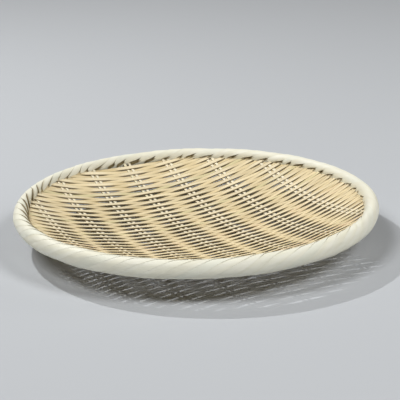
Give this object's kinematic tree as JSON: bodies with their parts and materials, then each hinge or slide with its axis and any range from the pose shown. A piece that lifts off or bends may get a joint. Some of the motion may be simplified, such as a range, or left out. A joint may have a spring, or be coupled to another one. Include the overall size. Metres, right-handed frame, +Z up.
{
  "type": "woven bamboo tray",
  "caption": "Shallow round bamboo tray: narrow wefts woven over and under paired warp splints form a dished mat, held in a hoop rim bound with pale slanting strips.",
  "frame": {"origin": "middle of the tray at the surface that it stands on", "axes": "+Z up along the rim's axis, +X along the weft rows, +Y along the warp pairs"},
  "size_m": [0.3, 0.2998, 0.0367],
  "materials": {
    "binding_bamboo": "peeled pale bamboo, satin",
    "hoop_bamboo": "split bamboo, satin",
    "warp_bamboo": "split bamboo, satin",
    "weft_bamboo": "split bamboo, satin, fibres along each splint"
  },
  "bodies": {
    "root": {"binding_strip_1": "binding_bamboo", "binding_strip_2": "binding_bamboo", "binding_strip_3": "binding_bamboo", "binding_strip_4": "binding_bamboo", "binding_strip_5": "binding_bamboo", "binding_strip_6": "binding_bamboo", "inner_hoop": "hoop_bamboo", "outer_hoop": "hoop_bamboo", "middle_warp_left": "warp_bamboo", "middle_warp_right": "warp_bamboo", "left_warp_1_inner": "warp_bamboo", "left_warp_1_outer": "warp_bamboo", "left_warp_2_inner": "warp_bamboo", "left_warp_2_outer": "warp_bamboo", "left_warp_3_inner": "warp_bamboo", "left_warp_3_outer": "warp_bamboo", "right_warp_1_inner": "warp_bamboo", "right_warp_1_outer": "warp_bamboo", "right_warp_2_inner": "warp_bamboo", "right_warp_2_outer": "warp_bamboo", "right_warp_3_inner": "warp_bamboo", "right_warp_3_outer": "warp_bamboo", "weft_splint_1": "weft_bamboo", "weft_splint_2": "weft_bamboo", "weft_splint_3": "weft_bamboo", "weft_splint_4": "weft_bamboo", "weft_splint_5": "weft_bamboo", "weft_splint_6": "weft_bamboo", "weft_splint_7": "weft_bamboo", "weft_splint_8": "weft_bamboo"}
  },
  "joints": []
}
